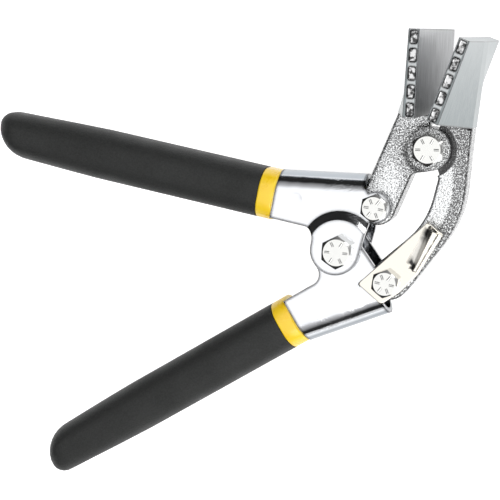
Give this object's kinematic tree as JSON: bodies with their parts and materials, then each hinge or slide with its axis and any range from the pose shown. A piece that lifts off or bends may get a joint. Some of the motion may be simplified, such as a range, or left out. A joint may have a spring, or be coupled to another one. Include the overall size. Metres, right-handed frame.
{
  "type": "hand seamer",
  "caption": "Wide-jaw offset hand seamer: two gripped channel handles, compound linkage, two broad flat blades and a latch plate.",
  "frame": {"origin": "centre of the object's box, at the level of the lower ends of the blades, which it rests on", "axes": "+X from the grips to the jaws, +Y towards the upper handle, +Z along the pivots towards the bolt heads"},
  "size_m": [0.1992, 0.15, 0.0762],
  "materials": {
    "chrome_plate": "bright chrome plating on pressed steel",
    "cast_chrome": "satin chrome on a fine cast texture, blades ground",
    "bright_fastener": "bright plated hex bolts and nuts",
    "nickel_plate": "warm bright nickel plating",
    "spring_steel": "oiled spring steel",
    "black_grip": "matt black with a fine stipple",
    "yellow_collar": "glossy yellow"
  },
  "bodies": {
    "lower_handle_body": {"lower_handle": "chrome_plate", "lower_grip": "black_grip", "lower_collar": "yellow_collar", "handle_pivot_bolt": "bright_fastener", "handle_pivot_nut": "bright_fastener", "lower_link_bolt": "bright_fastener", "lower_link_nut": "bright_fastener", "lower_link_washers": "bright_fastener", "latch_wave_washer": "spring_steel", "opening_spring": "spring_steel", "spring_sleeve": "spring_steel"},
    "upper_handle_body": {"upper_handle": "chrome_plate", "upper_grip": "black_grip", "upper_collar": "yellow_collar", "upper_link_bolt": "bright_fastener", "upper_link_nut": "bright_fastener", "upper_link_washers": "bright_fastener"},
    "long_jaw_body": {"long_arm_jaw": "cast_chrome", "jaw_pivot_bolt": "bright_fastener", "jaw_pivot_nut": "bright_fastener", "jaw_pivot_washer": "bright_fastener"},
    "short_jaw_body": {"short_arm_jaw": "cast_chrome"},
    "latch_body": {"latch_plate": "nickel_plate"}
  },
  "joints": [
    {"name": "handle_fold", "type": "hinge", "parent": "lower_handle_body", "child": "upper_handle_body", "pos_m": [0.03448, -0.00143, 0.0381], "axis": [0, 0, 1], "range_deg": [0, 34.4], "stiffness_Nm_per_rad": 0.35, "springref_deg": -28.65, "deforming": ["opening_spring"]},
    {"name": "long_arm_swing", "type": "hinge", "parent": "lower_handle_body", "child": "long_jaw_body", "pos_m": [0.05056, -0.01556, 0.0381], "axis": [0, 0, 1], "range_deg": [-1, 12]},
    {"name": "jaw_close", "type": "hinge", "parent": "long_jaw_body", "child": "short_jaw_body", "pos_m": [0.07319, 0.03098, 0.0381], "axis": [0, 0, 1], "range_deg": [-19, 1]},
    {"name": "latch_swing", "type": "hinge", "parent": "lower_handle_body", "child": "latch_body", "pos_m": [0.05056, -0.01556, 0.0381], "axis": [0, 0, 1], "range_deg": [0, 24]}
  ],
  "couplings": [
    {"joint": "long_arm_swing", "follows": "handle_fold", "ratio": 0.292},
    {"joint": "jaw_close", "follows": "handle_fold", "ratio": -0.5197}
  ]
}
